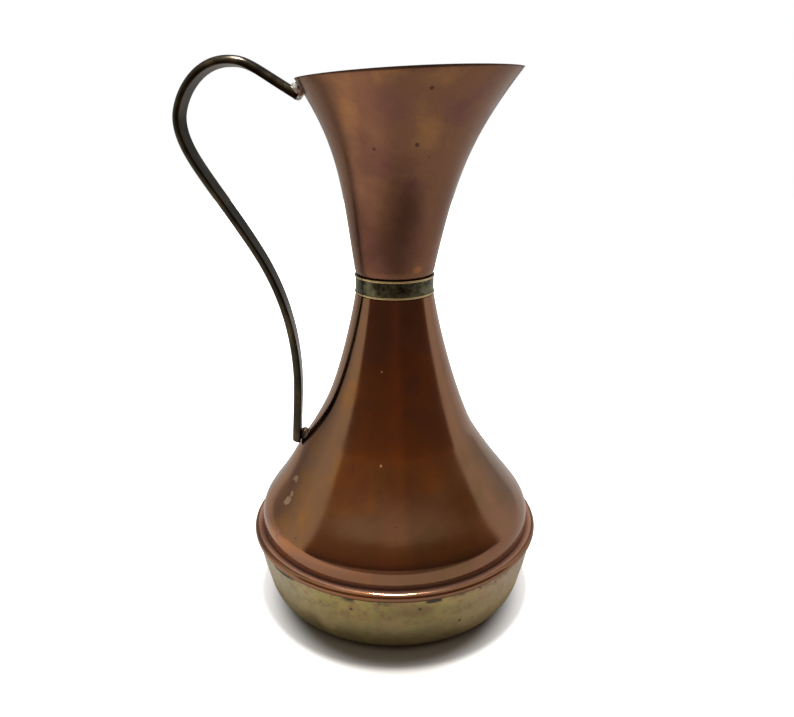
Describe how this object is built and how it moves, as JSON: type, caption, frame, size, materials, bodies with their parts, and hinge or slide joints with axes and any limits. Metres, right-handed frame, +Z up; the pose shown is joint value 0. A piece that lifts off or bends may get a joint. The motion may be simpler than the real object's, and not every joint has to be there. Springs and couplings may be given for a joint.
{
  "type": "water jug",
  "caption": "Tall flared pouring jug: copper trumpet neck and bell joined at a brass waist collar, brass bowl base, looped half-round handle.",
  "frame": {"origin": "on the jug's axis at the bottom of the bowl, where it rests on the floor", "axes": "+Z up; +X toward the side that the mouth leans to and pours from, with the handle on the -X side; +Y across the jug"},
  "size_m": [0.1882, 0.1608, 0.2873],
  "materials": {
    "copper_trumpet": "aged copper, satin, with mottled purple-brown and orange patina",
    "copper_bell": "aged copper, glossier than the trumpet, with a few verdigris marks",
    "brass_bowl": "tarnished yellow-green brass with dark specks",
    "brass_collar": "dark greenish brass with rubbed bright edges",
    "brass_handle": "dark bronzed brass bar with rubbed edges",
    "solder": "dull silver-grey soft solder"
  },
  "bodies": {
    "root": {"trumpet_neck": "copper_trumpet", "bell_body": "copper_bell", "base_bowl": "brass_bowl", "waist_collar": "brass_collar", "handle": "brass_handle", "handle_top_solder": "solder", "handle_foot_solder": "solder", "waist_solder": "solder", "seam_solder": "solder"}
  },
  "joints": []
}
